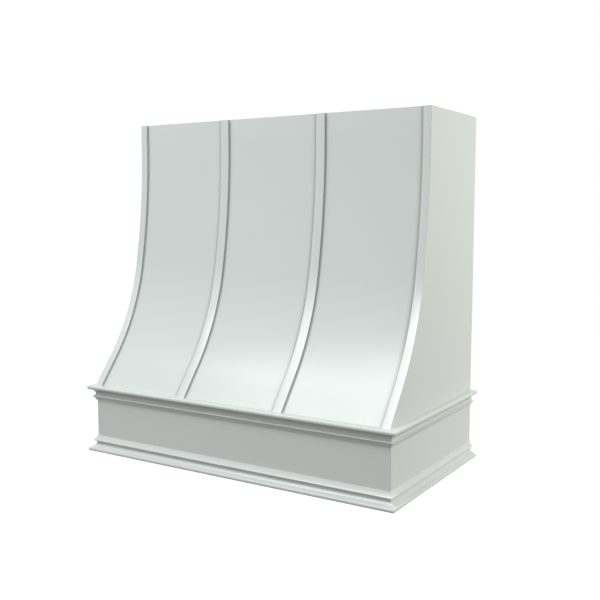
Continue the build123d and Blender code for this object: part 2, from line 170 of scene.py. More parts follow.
class HoodPaint(bpy.types.PropertyGroup):
    """Look of the satin paint, with its painted shade along the straps"""

    base: colour("Colour", (0.600, 0.632, 0.612), "Colour of the paint")
    drift: share("Drift", 0.002, "Slow change of tone over a board")
    roughness: share("Roughness", 0.27, "Roughness of the paint film")
    strap_gloss: share("Strap gloss", 0.55, "Reflection of the straps, 0.5 is plain paint")
    mottle: share("Mottle", 0.003, "Slow change of roughness over a board")
    # Painted shade: the paint's colour is darkened in the corners beside the straps.
    crease: share("Crease", 0.62, "How much darker the paint looks in a corner")
    crease_shade_tone: share("Crease tone", 0.1, "Part of the colour left in the darkest corner")
    crease_shade_left: length("Crease left", 0.0080, "Reach of the darker paint left of a strap")
    crease_shade_right: length("Crease right", 0.0027, "Reach of the darker paint right of a strap")
    # Painted shade on the narrow sides of the straps.
    side_shade_fade: FloatProperty(
        name="Side fade", default=0.78, min=0.0,
        description="How little the narrow sides of the straps are darkened",
    )
    side_shade_turn: FloatProperty(
        name="Side turn", default=3.0, min=0.0,
        description="How soon the narrow sides' tone ends where a side turns to the face",
    )
    flush_within: length("Flush within", 0.001, "Outer sides this near the body's side stay plain")
    stipple: length("Stipple", 0.0016, "Size of the film's stipple")
    stipple_height: length("Stipple height", 0.000004, "Height of the stipple")


class HoodWood(bpy.types.PropertyGroup):
    """Look of the unpainted wood"""

    birch: colour("Birch", (0.62, 0.45, 0.27), "Face veneer of the plywood")
    birch_dark: colour("Birch, dark", (0.50, 0.33, 0.18), "Dark lines of the veneer")
    ply_end: colour("Crossed ply", (0.36, 0.22, 0.11), "Plies seen on end grain")
    poplar: colour("Poplar", (0.56, 0.47, 0.28), "Solid rails and blocks")
    poplar_dark: colour("Poplar, dark", (0.40, 0.36, 0.20), "Green and brown bands of poplar")
    beech: colour("Beech", (0.56, 0.34, 0.19), "Dowels")
    beech_dark: colour("Beech, dark", (0.38, 0.20, 0.10), "Flecks of the dowels")
    ply: length("Ply", 0.00138, "Thickness of one ply")
    roughness: share("Roughness", 0.62, "Roughness of raw wood")
    fibre_height: length("Fibre height", 0.00004, "Height of the raised grain")


class HoodStage(bpy.types.PropertyGroup):
    """Camera, floor and lamps"""

    hang_height: length("Hanging height", 1.68, "Floor to the hood's bottom edge")
    azimuth: angle("Azimuth", 32.0, "Camera's turn to the right of square on")
    pitch: angle("Pitch", 5.970, "Camera's tilt below level")
    lens: FloatProperty(name="Lens", default=50.07, description="Focal length, millimetres")
    camera_at: FloatVectorProperty(
        name="Camera", default=(1.2433, -2.1397, 0.6643), description="Place of the camera",
        subtype="TRANSLATION", unit="LENGTH", size=3,
    )
    floor: colour("Floor", (0.15, 0.15, 0.15), "Colour of the pale floor")
    near_reach: length("Near reach", 2.0, "Floor within this of the middle has the near glow")
    far_reach: length("Far reach", 3.5, "Floor beyond this has the far glow")
    near_glow: share("Near glow", 0.81, "Floor's own white below the hood")
    far_glow: share("Far glow", 0.95, "Floor's own white away from the hood")
    ambient: FloatProperty(name="Ambient", default=0.60, description="Even light from all round")
    aim: FloatVectorProperty(
        name="Aim", default=(0.0, -0.25, 0.45), description="Point that the lamps face",
        subtype="TRANSLATION", unit="LENGTH", size=3,
    )
    lamp_distance: length("Lamp distance", 3.0, "Lamps to the point they face")


# ------------------------------------------------------------------ meshes
def add_piece(name, points, faces, materials):
    """A mesh object from points and faces, linked to the scene."""
    mesh = bpy.data.meshes.new(name)
    mesh.from_pydata(points, [], faces)
    piece = bpy.data.objects.new(name, mesh)
    bpy.context.scene.collection.objects.link(piece)
    for material in materials:
        mesh.materials.append(material)
    return piece


def swept(stations, wrap=True):
    """Points and faces of a tube through stations, each a loop of as many points."""
    count = len(stations[0])
    points = [point for station in stations for point in station]
    faces = []
    for row in range(len(stations) - 1):
        for i in range(count):
            j = (i + 1) % count
            faces.append((row * count + i, row * count + j,
                          (row + 1) * count + j, (row + 1) * count + i))
    if wrap:
        last = (len(stations) - 1) * count
        faces.append(tuple(reversed(range(count))))
        faces.append(tuple(range(last, last + count)))
    return points, faces


def edit(piece, change):
    """Runs change on the piece's mesh, then turns all its faces outwards."""
    mesh = bmesh.new()
    mesh.from_mesh(piece.data)
    change(mesh)
    bmesh.ops.recalc_face_normals(mesh, faces=mesh.faces)
    mesh.to_mesh(piece.data)
    mesh.free()


def ease(piece, wanted, radius, segments=3):
    """Rounds the edges that wanted picks, as sandpaper and paint do."""
    def change(mesh):
        bmesh.ops.recalc_face_normals(mesh, faces=mesh.faces)
        edges = [e for e in mesh.edges if wanted(e)]
        bmesh.ops.bevel(
            mesh, geom=edges, offset=radius, offset_type="OFFSET", segments=segments,
            profile=0.5, affect="EDGES", clamp_overlap=True, material=-1,
        )
    edit(piece, change)


def finish_mesh(piece, sharp=math.radians(34), weigh=True):
    """Smooth shading that keeps arrises crisp and flats flat."""
    piece.data.shade_smooth()
    piece.data.set_sharp_from_angle(angle=sharp)
    if not weigh:
        return
    weighted = piece.modifiers.new("flat_faces", "WEIGHTED_NORMAL")
    weighted.keep_sharp = True
    weighted.weight = 100


def hang(piece, node, body=HOOD):
    """Puts a piece on its body in place of a CAD node."""
    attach(piece, body)
    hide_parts(node)


def paint_out(piece, is_raw):
    """Faces that is_raw picks show the second material, raw wood."""
    for face in piece.data.polygons:
        if is_raw(face):
            face.material_index = 1


# ------------------------------------------------------------------ the flare's line
def flare(body):
    """Start height, two bend centres and two radii of the line on the straps' face."""
    first, last = body.upper_bend, body.foot_slope
    foot_depth = body.apron_depth - body.setback + body.strap / math.cos(last)
    reach = foot_depth - body.top_depth - body.foot_straight * math.sin(last)
    start = body.height - body.straight_top
    drop = start - body.apron_height - body.foot_straight * math.cos(last)
    a = 1 - math.cos(first)
    b = math.cos(first) - math.cos(last)
    c = math.sin(first)
    d = math.sin(last) - math.sin(first)
    upper = (reach * d - drop * b) / (a * d - b * c)
    lower = (drop * a - reach * c) / (a * d - b * c)
    centre = (-body.top_depth - upper, start)
    shift = upper - lower
    below = (centre[0] + shift * math.cos(first), start - shift * math.sin(first))
    return centre, upper, below, lower


def round_points(centre, radius, first, last, steps):
    """Points on an arc from one angle to another, both ends included."""
    turns = [first + (last - first) * i / steps for i in range(steps + 1)]
    return [(centre[0] + radius * math.cos(t), centre[1] + radius * math.sin(t)) for t in turns]


def flare_column(body, inset):
    """Points (y, z) from the top edge to the apron, set inset behind the straps' face."""
    centre, upper, below, lower = flare(body)
    steps = body.bend_steps
    bends = round_points(centre, upper + inset, 0, -body.upper_bend, steps)
    bends += round_points(below, lower + inset, -body.upper_bend, -body.foot_slope, steps)[1:]
    y, z = bends[-1]
    foot = (y - (z - body.apron_height) * math.tan(body.foot_slope), body.apron_height)
    return [(inset - body.top_depth, body.height)] + bends + [foot]


def bent_board(body, section):
    """Stations of a board bent over the front; the section holds points (x, inset)."""
    columns = [flare_column(body, inset) for _, inset in section]
    return [
        [(x, *column[i]) for (x, _), column in zip(section, columns)]
        for i in range(len(columns[0]))
    ]


def slope_at(body, z):
    """Slope of the front from upright at a height."""
    _, upper, _, lower = flare(body)
    start = body.height - body.straight_top
    bend = start - upper * math.sin(body.upper_bend)
    if z > bend:
        return math.asin(min(max((start - z) / upper, 0.0), 1.0))
    turn = math.sin(body.upper_bend) + (bend - z) / lower
    return min(math.asin(min(turn, 1.0)), body.foot_slope)


def catch_light(piece, body, straps):
    """Turns the shading of the straps' faces to the foot's slope a little sooner."""
    mesh = piece.data
    turned = []
    for corner in mesh.loops:
        z = mesh.vertices[corner.vertex_index].co.z
        lead = straps.lead * min(max((straps.lead_from - z) / straps.lead, 0.0), 1.0)
        turn = slope_at(body, z - lead) - slope_at(body, z)
        normal = mesh.corner_normals[corner.index].vector
        turned.append(Matrix.Rotation(-turn, 3, "X") @ normal)
    mesh.normals_split_custom_set(turned)


def inner_half(body):
    """Middle of the width to the inner face of a side panel."""
    return body.width / 2 - body.board


# ------------------------------------------------------------------ painted pieces
def build_side_panel(body, side, materials):
    """Side panel, raw on its inner face, its back edge and its top edge."""
    front = flare_column(body, body.strap)
    inner, outer = side * inner_half(body), side * body.width / 2
    step = -(body.apron_depth - body.board)
    points = []
    for x in (inner, outer):
        points += [(x, y, z) for y, z in front]
        points += [(x, 0, z) for _, z in front]
        points += [(x, step, body.apron_height), (x, step, 0), (x, 0, 0)]
    rows = len(front)
    layer = 2 * rows + 3
    ledge, toe, heel = 2 * rows, 2 * rows + 1, 2 * rows + 2
    cap = [(i, i + 1, rows + i + 1, rows + i) for i in range(rows - 2)]
    cap += [(rows - 2, rows - 1, ledge, 2 * rows - 1, 2 * rows - 2)]
    cap += [(ledge, toe, heel, 2 * rows - 1)]
    rim = list(range(rows)) + [ledge, toe, heel] + list(range(2 * rows - 1, rows - 1, -1))
    faces = cap + [tuple(i + layer for i in reversed(face)) for face in cap]
    for i, j in zip(rim, rim[1:] + rim[:1]):
        faces.append((i, j, j + layer, i + layer))
    piece = add_piece(f"painted_side_{'right' if side > 0 else 'left'}", points, faces, materials)
    tiny = 0.1 * MM

    def outer_arris(e):
        a, b = (v.co for v in e.verts)
        on_face = abs(a.x - outer) < tiny and abs(b.x - outer) < tiny
        back = abs(a.y) < tiny and abs(b.y) < tiny
        top = abs(a.z - body.height) < tiny and abs(b.z - body.height) < tiny
        return on_face and (back or top)

    ease(piece, outer_arris, body.eased)
    paint_out(piece, lambda f: f.normal.x * side < -0.5 or f.normal.y > 0.9
              or (f.normal.z > 0.9 and f.center.z > body.apron_height))
    return piece


def build_front_panel(body, materials):
    """Bent plywood between the side panels, raw on its back and its top edge."""
    half = inner_half(body)
    front, back = body.strap, body.strap + body.skin
    section = [(-half, back), (-half, front), (half, front), (half, back)]
    piece = add_piece("painted_front", *swept(bent_board(body, section)), materials)
    edit(piece, lambda mesh: None)
    paint_out(piece, lambda f: f.normal.y > 0.1 or f.normal.z > 0.9)
    return piece


def strap_section(body, straps, low, high, low_free, high_free):
    """Section (x, inset) of a strap; a free side has caulk along its foot."""
    r, c, t, n = straps.eased, straps.caulk, body.strap, straps.round_steps
    quarter = math.pi / 2
    right = round_points((high - r, r), r, -quarter, 0, n)
    left = round_points((low + r, r), r, math.pi, math.pi + quarter, n)
    section = left + right
    if high_free:
        section += round_points((high + c, t - c), c, math.pi, quarter, n)
    else:
        section += [(high, t)]
    if low_free:
        section += round_points((low - c, t - c), c, quarter, 0, n)
    else:
        section += [(low, t)]
    return section


def build_strap(body, straps, name, low, high, materials):
    """One strap from the top edge down to the upper moulding."""
    half = body.width / 2 - 0.5 * MM
    section = strap_section(body, straps, low, high, low > -half, high < half)
    piece = add_piece(name, *swept(bent_board(body, section)), materials)
    edit(piece, lambda mesh: None)
    return piece


def build_apron(body, materials):
    """Front board of the base with two eased corners, raw on its back."""
    half, face, r = body.width / 2, -body.apron_depth, body.corner
    back = face + body.board
    steps = 6
    left = round_points((-half + r, face + r), r, math.pi, 1.5 * math.pi, steps)
    right = round_points((half - r, face + r), r, -0.5 * math.pi, 0, steps)
    plan = left + right + [(half, back), (-half, back)]
    stations = [[(x, y, z) for x, y in plan] for z in (0, body.apron_height)]
    piece = add_piece("painted_apron", *swept(stations), materials)
    edit(piece, lambda mesh: None)
    paint_out(piece, lambda f: f.normal.y > 0.9)
    return piece


def hollow(start, end, depth, steps):
    """Points of a hollow between two points of the section, without the first."""
    chord = Vector(end) - Vector(start)
    middle = (Vector(start) + Vector(end)) / 2
    side = Vector((-chord.y, chord.x)).normalized()
    span = chord.length
    radius = (span * span / 4 + depth * depth) / (2 * depth)
    centre = middle + side * (depth - radius)
    first = math.atan2(start[1] - centre.y, start[0] - centre.x)
    last = math.atan2(end[1] - centre.y, end[0] - centre.x)
    while last > first:
        last -= 2 * math.pi
    if first - last > math.pi:
        last += 2 * math.pi
    return round_points(centre, radius, first, last, steps)[1:]


def moulding_section(m):
    """Loop of points (out, away) round the section of the moulding."""
    n = m.curve_steps
    centre = (m.projection - m.nose_radius, m.nose_radius)
    nose = round_points(centre, m.nose_radius, -math.pi / 2, m.nose_end, n)
    sixth = math.pi / 3
    bead = round_points((m.bead_out - m.bead_radius, m.bead_at), m.bead_radius, -sixth, sixth, 6)
    neck, foot = (m.neck_out, m.neck_at), (m.foot_out, m.height)
    above = hollow(nose[-1], neck, m.nose_cove, n)
    below = hollow(neck, bead[0], m.neck_cove, n)
    soft = [Vector(p) for p in above + below if (Vector(p) - Vector(neck)).length > m.neck_fillet]
    cove = hollow(bead[-1], foot, m.foot_cove, n)
    return [(0, 0)] + nose + [tuple(p) for p in soft[:-1]] + bead + cove + [(0, m.height)]


def build_moulding(body, m, where, upper, materials):
    """A mitred length of moulding across the front or along one side."""
    section = moulding_section(m)
    half, deep = body.width / 2, body.apron_depth

    def level(away):
        return body.apron_height - away if upper else away

    if where == "front":
        ends = [[(s * (half + out), -(deep + out), level(h)) for out, h in section]
                for s in (-1, 1)]
    else:
        s = 1 if where == "right" else -1
        ends = [[(s * (half + out), y(out), level(h)) for out, h in section]
                for y in (lambda out: -(deep + out), lambda out: 0.0)]
    name = f"painted_{'upper' if upper else 'lower'}_moulding_{where}"
    piece = add_piece(name, *swept(ends), materials)
    edit(piece, lambda mesh: None)
    return piece


# ------------------------------------------------------------------ screws
def solids_of(node):
    """Lists of corners, one for each separate solid of a CAD node."""
    mesh = bmesh.new()
    mesh.from_mesh(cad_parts[node].data)
    bmesh.ops.remove_doubles(mesh, verts=mesh.verts, dist=0.001 * MM)
    left, solids = set(mesh.verts), []
    while left:
        stack, found = [left.pop()], []
        while stack:
            vert = stack.pop()
            found.append(vert.co.copy())
            for edge in vert.link_edges:
                other = edge.other_vert(vert)
                if other in left:
                    left.remove(other)
                    stack.append(other)
        solids.append(found)
    mesh.free()
    return sorted(solids, key=lambda s: tuple(round(c, 5) for c in s_middle(s)))


def s_middle(corners):
    """Middle of the box round some corners."""
    return [(min(c[i] for c in corners) + max(c[i] for c in corners)) / 2 for i in range(3)]


def screw_place(corners):
    """Matrix with its origin on the screw's head and its Z axis out of the head; and length."""
    low = [min(c[i] for c in corners) for i in range(3)]
    high = [max(c[i] for c in corners) for i in range(3)]
    along = max(range(3), key=lambda i: high[i] - low[i])
    middle = s_middle(corners)
    reach = {end: 0.0 for end in (low[along], high[along])}
    for corner in corners:
        for end in reach:
            if abs(corner[along] - end) < 0.01 * MM:
                off = math.dist([corner[i] for i in range(3) if i != along],
                                [middle[i] for i in range(3) if i != along])
                reach[end] = max(reach[end], off)
    head = max(reach, key=reach.get)
    axis = Vector((0, 0, 0))
    axis[along] = 1 if head == high[along] else -1
    origin = Vector(middle)
    origin[along] = head
    turn = axis.to_track_quat("Z", "Y").to_matrix().to_4x4()
    return Matrix.Translation(origin) @ turn, high[along] - low[along]


def cross_angles(screw):
    """Angles at which the head's rings meet the corners of the cross recess."""
    tip = math.atan2(screw.recess_width, screw.recess_span)
    quarter = (0, tip, math.pi / 4, math.pi / 2 - tip)
    return [q * math.pi / 2 + a for q in range(4) for a in quarter]


def cross_ring(screw, angles, shrink, z):
    """Outline of the cross recess, drawn in by shrink, at a height."""
    arm, half = screw.recess_span / 2, screw.recess_width / 2
    ring = []
    for a in angles:
        off = abs((a + math.pi / 4) % (math.pi / 2) - math.pi / 4)
        r = arm / math.cos(off)
        if off > 1e-6:
            r = min(r, half / math.sin(off))
        ring.append((shrink * r * math.cos(a), shrink * r * math.sin(a), z))
    return ring


def screw_rings(screw, total):
    """Rings of points from the floor of the recess, over the head and down to the tip."""
    angles = cross_angles(screw)

    def ring(radius, z):
        return [(radius * math.cos(a), radius * math.sin(a), z) for a in angles]

    rings = [cross_ring(screw, angles, 0.5, -screw.recess_depth),
             cross_ring(screw, angles, 1.0, 0.0),
             ring(screw.head_radius - 0.1 * MM, 0.0),
             ring(screw.head_radius, -0.1 * MM),
             ring(screw.head_radius, -screw.rim),
             ring(screw.thread_radius, -screw.head_height - screw.rim),
             ring(screw.thread_radius * 0.9, -screw.smooth_shank)]
    z = -screw.smooth_shank
    step = screw.pitch / 4
    while z - step > screw.tip * 0.1 - total:
        z -= step
        taper = min(1.0, (z + total) / screw.tip)
        loop = []
        for a in angles:
            phase = (z / screw.pitch + a / (2 * math.pi)) % 1.0
            crest = max(0.0, 1 - 3.0 * min(phase, 1 - phase))
            r = taper * (screw.core_radius + (screw.thread_radius - screw.core_radius) * crest)
            loop.append((r * math.cos(a), r * math.sin(a), z))
        rings.append(loop)
    rings.append(ring(0.06 * MM, -total))
    return rings


def build_screws(screw, node, materials):
    """Threaded screws where a CAD node has its plain ones."""
    points, faces = [], []
    for corners in solids_of(node):
        place, total = screw_place(corners)
        ring_points, ring_faces = swept(screw_rings(screw, total))
        base = len(points)
        points += [place @ Vector(p) for p in ring_points]
        faces += [tuple(base + i for i in face) for face in ring_faces]
    piece = add_piece(f"threaded_{node}", points, faces, materials)
    edit(piece, lambda mesh: None)
    return piece


# ------------------------------------------------------------------ materials
class Nodes:
    """Short words for making and joining the nodes of one tree."""

    def __init__(self, tree):
        self.tree = tree

    def add(self, kind, inputs=None, **settings):
        """A node with its settings; inputs are values, or sockets to join."""
        node = self.tree.nodes.new(kind)
        for key, value in settings.items():
            setattr(node, key, value)
        for key, value in (inputs or {}).items():
            self.put(node.inputs[key], value)
        return node

    def put(self, socket, value):
        if isinstance(value, bpy.types.NodeSocket):
            self.tree.links.new(value, socket)
        else:
            socket.default_value = value

    def math(self, operation, a, b=0.0, clamp=False):
        """Result of a Math node."""
        node = self.add("ShaderNodeMath", {0: a, 1: b}, operation=operation, use_clamp=clamp)
        return node.outputs[0]

    def vector(self, operation, a, b, out="Vector"):
        """Result of a Vector Math node."""
        node = self.add("ShaderNodeVectorMath", {0: a, 1: b}, operation=operation)
        return node.outputs[out]

    def noise(self, vector, scale, detail=2.0, roughness=0.5, distortion=0.0):
        """Grey noise over a vector."""
        inputs = {"Vector": vector, "Scale": scale, "Detail": detail, "Roughness": roughness,
                  "Distortion": distortion}
        return self.add("ShaderNodeTexNoise", inputs).outputs["Fac"]

    def spread(self, value, low, high, to_low=0.0, to_high=1.0):
        """Value from low to high, spread between two others."""
        inputs = {"Value": value, "From Min": low, "From Max": high,
                  "To Min": to_low, "To Max": to_high}
        return self.add("ShaderNodeMapRange", inputs).outputs["Result"]

    def mix(self, factor, a, b):
        """Two colours, mixed."""
        node = self.add("ShaderNodeMix", data_type="RGBA")
        sockets = {s.identifier: s for s in node.inputs}
        self.put(sockets["Factor_Float"], factor)
        self.put(sockets["A_Color"], a)
        self.put(sockets["B_Color"], b)
        return next(s for s in node.outputs if s.identifier == "Result_Color")

    def group(self, tree, inputs):
        """One of this file's shader groups, with its inputs."""
        return self.add("ShaderNodeGroup", inputs, node_tree=tree)


def new_group(name, inputs, outputs):
    """An empty shader group with its sockets: its Nodes, its input node and its output node."""
    tree = bpy.data.node_groups.new(name, "ShaderNodeTree")
    for socket, kind, value in inputs:
        made = tree.interface.new_socket(name=socket, in_out="INPUT", socket_type=kind)
        made.default_value = value
    for socket, kind in outputs:
        tree.interface.new_socket(name=socket, in_out="OUTPUT", socket_type=kind)
    nodes = Nodes(tree)
    return nodes, nodes.add("NodeGroupInput").outputs, nodes.add("NodeGroupOutput").inputs


def paint_film_group():
    """Sprayed paint: the height of its stipple, and slow changes of tone and of roughness."""
    name = "paint_film"
    if name in bpy.data.node_groups:
        return bpy.data.node_groups[name]
    nodes, given, made = new_group(
        name,
        [("Vector", "NodeSocketVector", (0, 0, 0)), ("Stipple", "NodeSocketFloat", 0.0016)],
        [("Height", "NodeSocketFloat"), ("Drift", "NodeSocketFloat"),
         ("Mottle", "NodeSocketFloat")],
    )
    scale = nodes.math("DIVIDE", 1.0, given["Stipple"])
    fine = nodes.noise(given["Vector"], scale, 2.0, 0.55)
    broad = nodes.noise(given["Vector"], nodes.math("MULTIPLY", scale, 0.21), 1.0)
    height = nodes.math("ADD", nodes.math("MULTIPLY", fine, 0.6),
                        nodes.math("MULTIPLY", broad, 0.4))
    nodes.put(made["Height"], height)
    nodes.put(made["Drift"], nodes.noise(given["Vector"], 5.0, 3.0, 0.6))
    nodes.put(made["Mottle"], nodes.noise(given["Vector"], 11.0, 2.0, 0.5))
    return nodes.tree


# Painted shade in corners and on the straps' narrow sides fades out by this distance.
NO_CREASE_SHADE = 9.0  # distance, in reaches or metres, at which nothing of a crease is left


def crease_shade_group():
    """Painted shade along a corner, on two sides of it: 1 in the corner, 0 away from it."""
    name = "crease"
    if name in bpy.data.node_groups:
        return bpy.data.node_groups[name]
    nodes, given, made = new_group(
        name,
        [("Before", "NodeSocketFloat", 0.0), ("Behind", "NodeSocketFloat", 0.0),
         ("Reach Before", "NodeSocketFloat", 0.002), ("Reach Behind", "NodeSocketFloat", 0.006)],
        [("Crease", "NodeSocketFloat")],
    )
    fades = []
    for side in ("Before", "Behind"):
        away = nodes.math("DIVIDE", given[side], given["Reach " + side])
        fade = nodes.math("MULTIPLY", nodes.math("MULTIPLY", away, away), -1.0)
        fades.append(nodes.math("EXPONENT", fade))
    nodes.put(made["Crease"], nodes.math("MAXIMUM", *fades))
    return nodes.tree


def wood_grain_group():
    """Wood along one direction: broad figure, fine fibres and small dark pores."""
    name = "wood_grain"
    if name in bpy.data.node_groups:
        return bpy.data.node_groups[name]
    nodes, given, made = new_group(
        name,
        [("Vector", "NodeSocketVector", (0, 0, 0)), ("Stretch", "NodeSocketVector", (1, 8, 8))],
        [("Figure", "NodeSocketFloat"), ("Fibre", "NodeSocketFloat"),
         ("Pore", "NodeSocketFloat")],
    )
    along = nodes.vector("MULTIPLY", given["Vector"], given["Stretch"])
    bend = nodes.noise(along, 0.9, 2.0)
    shifted = nodes.math("ADD", nodes.noise(along, 2.4, 3.0, 0.6, 0.5),
                         nodes.math("MULTIPLY", bend, 0.8))
    rings = nodes.math("PINGPONG", nodes.math("MULTIPLY", shifted, 5.5), 1.0)
    nodes.put(made["Figure"], nodes.spread(rings, 0.1, 0.9))
    fibre = nodes.noise(along, 30.0, 4.0, 0.65)
    nodes.put(made["Fibre"], nodes.spread(fibre, 0.3, 0.7))
    pore = nodes.noise(along, 75.0, 1.0)
    nodes.put(made["Pore"], nodes.spread(pore, 0.62, 0.78))
    return nodes.tree


def ply_edge_group():
    """Edges of plywood: where the board shows its edge, and its plies in turn."""
    name = "ply_edge"
    if name in bpy.data.node_groups:
        return bpy.data.node_groups[name]
    nodes, given, made = new_group(
        name,
        [("Vector", "NodeSocketVector", (0, 0, 0)), ("Normal", "NodeSocketVector", (0, 0, 1)),
         ("Across", "NodeSocketVector", (1, 0, 0)), ("Ply", "NodeSocketFloat", 0.00138)],
        [("Edge", "NodeSocketFloat"), ("Crossed", "NodeSocketFloat"),
         ("Glue", "NodeSocketFloat")],
    )
    facing = nodes.math("ABSOLUTE", nodes.vector("DOT_PRODUCT", given["Normal"],
                                                 given["Across"], "Value"))
    edge = nodes.spread(facing, 0.55, 0.45)
    depth = nodes.vector("DOT_PRODUCT", given["Vector"], given["Across"], "Value")
    wave = nodes.math("PINGPONG", nodes.math("DIVIDE", depth, given["Ply"]), 1.0)
    nodes.put(made["Edge"], edge)
    nodes.put(made["Crossed"], nodes.spread(wave, 0.42, 0.58))
    line = nodes.math("ABSOLUTE", nodes.math("SUBTRACT", wave, 0.5))
    nodes.put(made["Glue"], nodes.spread(line, 0.07, 0.02))
    return nodes.tree


def new_material(name):
    """A material with one Principled shader: the material, its Nodes and the shader's inputs."""
    material = bpy.data.materials.new(name)
    material.use_nodes = True
    material.node_tree.nodes.clear()
    nodes = Nodes(material.node_tree)
    shader = nodes.add("ShaderNodeBsdfPrincipled")
    nodes.add("ShaderNodeOutputMaterial", {"Surface": shader.outputs["BSDF"]})
    return material, nodes, shader.inputs


def opaque(colour_value):
    return (*colour_value, 1.0)


def strap_paint(paint, body):
    """The same paint on the straps, with a little more shine and painted shade on their narrow
    sides.

    The outer sides of the edge straps are flush with the side panels and get no painted shade.
    """

    # Painted shade on a strap's narrow sides, by how far a surface turns from the strap's face.
    def narrow_side_shade(nodes, place):
        normals = nodes.add("ShaderNodeTexCoord").outputs["Normal"]
        across = nodes.add("ShaderNodeSeparateXYZ", {"Vector": normals}).outputs["X"]
        turned = nodes.math("SUBTRACT", 1.0, nodes.math("ABSOLUTE", across))
        x = nodes.add("ShaderNodeSeparateXYZ", {"Vector": place}).outputs["X"]
        flush = nodes.math("GREATER_THAN", nodes.math("ABSOLUTE", x),
                           body.width / 2 - paint.flush_within)
        away = nodes.math("ADD", nodes.math("MULTIPLY", turned, paint.side_shade_turn),
                          paint.side_shade_fade)
        away = nodes.math("ADD", away, nodes.math("MULTIPLY", flush, NO_CREASE_SHADE))
        return {"Before": away, "Behind": NO_CREASE_SHADE, "Reach Before": 1.0, "Reach Behind": 1.0}

    return satin_paint(paint, "strap_paint", paint.strap_gloss, narrow_side_shade)


def front_paint(paint, body, straps):
    """The same paint on the front panel, with painted shade in the corners along the straps.

    The painted shade is wider on the left of a strap than on its right.
    """
    sixth, half = body.width / 6, body.width / 2
    edge, inner = half - straps.edge_width, straps.inner_width / 2

    def nearest(nodes, x, lines, way):
        """Distance from x to the nearest line, counted one way only."""
        best = NO_CREASE_SHADE
        for line in lines:
            away = nodes.math("MULTIPLY", nodes.math("SUBTRACT", x, line), way)
            past = nodes.math("LESS_THAN", away, 0.0)
            best = nodes.math("MINIMUM", best, nodes.math("ADD", away, past))
        return best

    # Distances to the straps, for the painted shade beside them.
    def corner(nodes, place):
        x = nodes.add("ShaderNodeSeparateXYZ", {"Vector": place}).outputs["X"]
        return {
            "Before": nearest(nodes, x, (-edge, inner - sixth, inner + sixth), 1.0),
            "Behind": nearest(nodes, x, (-inner - sixth, sixth - inner, edge), -1.0),
            "Reach Before": paint.crease_shade_right, "Reach Behind": paint.crease_shade_left,
        }

    return satin_paint(paint, "front_paint", corner=corner)


def satin_paint(paint, name="satin_paint", gloss=0.5, corner=None):
    """Pale satin paint over filled wood; corner gives what the crease shade group needs for painted
    shade.
    """
    if name in bpy.data.materials:
        return bpy.data.materials[name]
    material, nodes, shader = new_material(name)
    place = nodes.add("ShaderNodeTexCoord").outputs["Object"]
    film = nodes.group(paint_film_group(), {"Vector": place, "Stipple": paint.stipple}).outputs
    dark = [c * (1 - 2 * paint.drift) for c in paint.base]
    drift = nodes.spread(film["Drift"], 0.3, 0.7)
    tone = nodes.mix(drift, opaque(dark), opaque(paint.base))
    # Painted shade: the colour darkens in a corner, down to a share of the base colour.
    if corner is not None:
        crease = nodes.group(crease_shade_group(), corner(nodes, place)).outputs["Crease"]
        depth = nodes.math("MULTIPLY", crease, paint.crease, clamp=True)
        tone = nodes.mix(depth, tone, opaque([c * paint.crease_shade_tone for c in paint.base]))
    nodes.put(shader["Base Color"], tone)
    rough = nodes.spread(film["Mottle"], 0.3, 0.7, paint.roughness - paint.mottle,
                         paint.roughness + paint.mottle)
    nodes.put(shader["Roughness"], rough)
    shader["Specular IOR Level"].default_value = gloss
    bump = nodes.add("ShaderNodeBump", {"Height": film["Height"],
                                        "Distance": paint.stipple_height, "Strength": 1.0})
    nodes.put(shader["Normal"], bump.outputs["Normal"])
    return material


def raw_wood(name, wood, pale, dark, grain, pore_depth=0.35, across=None, end_colour=None):
    """Unpainted wood with its grain along an axis; plywood also has an axis across its plies."""
    if name in bpy.data.materials:
        return bpy.data.materials[name]
    material, nodes, shader = new_material(name)
    source = nodes.add("ShaderNodeTexCoord").outputs
    stretch = [26.0, 26.0, 26.0]
    stretch[grain] = 2.2
    figure = nodes.group(wood_grain_group(),
                         {"Vector": source["Object"], "Stretch": stretch}).outputs
    tone = nodes.math("ADD", nodes.math("MULTIPLY", figure["Figure"], 0.55),
                      nodes.math("MULTIPLY", figure["Fibre"], 0.35), clamp=True)
    face = nodes.mix(tone, opaque(pale), opaque(dark))
    pores = nodes.math("MULTIPLY", figure["Pore"], pore_depth)
    face = nodes.mix(pores, face, opaque([c * 0.55 for c in dark]))
    height = figure["Fibre"]
    if across is not None:
        axis = [0.0, 0.0, 0.0]
        axis[across] = 1.0
        plies = nodes.group(ply_edge_group(), {
            "Vector": source["Object"], "Normal": source["Normal"], "Across": axis,
            "Ply": wood.ply}).outputs
        fleck = nodes.noise(source["Object"], 900.0, 3.0, 0.7)
        end = nodes.mix(nodes.math("MULTIPLY", fleck, 0.6), opaque(end_colour), opaque(dark))
        edge = nodes.mix(plies["Crossed"], opaque(pale), end)
        edge = nodes.mix(nodes.math("MULTIPLY", plies["Glue"], 0.7), edge,
                         opaque([c * 0.4 for c in end_colour]))
        face = nodes.mix(plies["Edge"], face, edge)
        height = nodes.mix(plies["Edge"], height, plies["Crossed"])
    nodes.put(shader["Base Color"], face)
    nodes.put(shader["Roughness"], nodes.spread(figure["Fibre"], 0.0, 1.0,
                                                wood.roughness - 0.06, wood.roughness + 0.1))
    bump = nodes.add("ShaderNodeBump", {"Height": height, "Distance": wood.fibre_height,
                                        "Strength": 0.8})
    nodes.put(shader["Normal"], bump.outputs["Normal"])
    return material


def birch_upright(wood):
    """Plywood with its faces to the sides and its grain upright."""
    return raw_wood("birch_ply_upright", wood, wood.birch, wood.birch_dark, 2,
                    across=0, end_colour=wood.ply_end)


def birch_level(wood):
    """Plywood with its faces to front and back and its grain level."""
    return raw_wood("birch_ply_level", wood, wood.birch, wood.birch_dark, 0,
                    across=1, end_colour=wood.ply_end)


